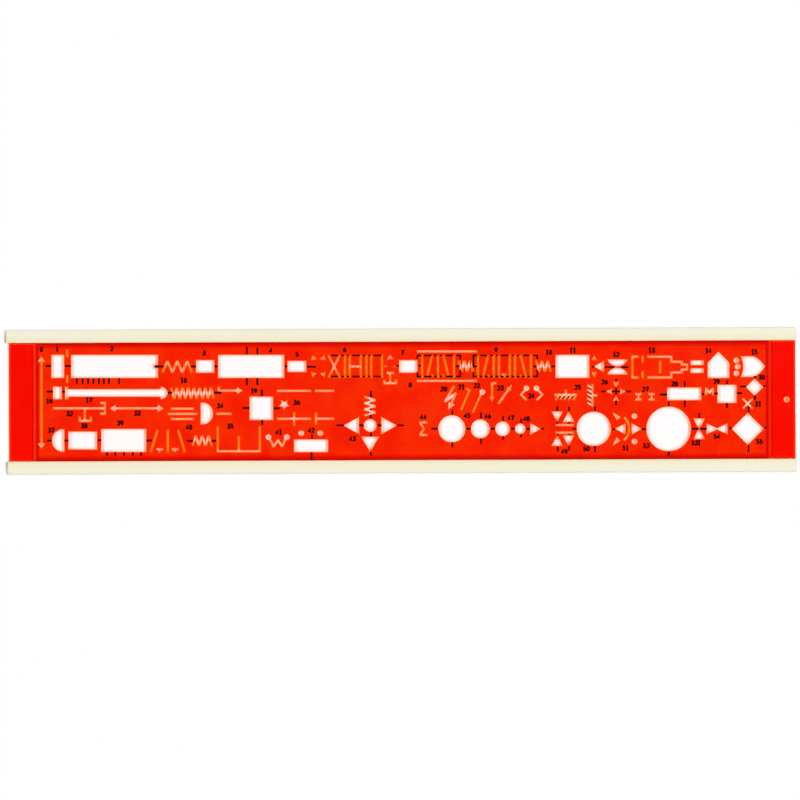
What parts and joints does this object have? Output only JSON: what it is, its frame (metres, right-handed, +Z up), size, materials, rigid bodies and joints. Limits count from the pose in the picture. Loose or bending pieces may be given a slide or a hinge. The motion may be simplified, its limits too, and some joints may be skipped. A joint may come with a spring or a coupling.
{
  "type": "drafting template",
  "caption": "Long translucent plate with cut-out fluid power symbols for tracing, its long edges held in push-on rails that lift it off the paper.",
  "frame": {"origin": "middle of the plate's length and width, on the paper that the rails stand on", "axes": "+X along the template towards the end with the hanging hole, +Y across it towards the upper rail, +Z up from the paper"},
  "size_m": [0.3015, 0.055, 0.004],
  "materials": {
    "plate": "translucent gloss",
    "rail": "satin",
    "ink": "matt print"
  },
  "bodies": {
    "plate": {"symbol_plate": "plate"},
    "upper_rail": {"upper_edge_rail": "rail"},
    "lower_rail": {"lower_edge_rail": "rail"}
  },
  "joints": [
    {"name": "upper_rail_slide", "type": "slide", "parent": "plate", "child": "upper_rail", "axis": [1, 0, 0], "range_m": [-0.303, 0.303]},
    {"name": "lower_rail_slide", "type": "slide", "parent": "plate", "child": "lower_rail", "axis": [1, 0, 0], "range_m": [-0.303, 0.303]}
  ]
}
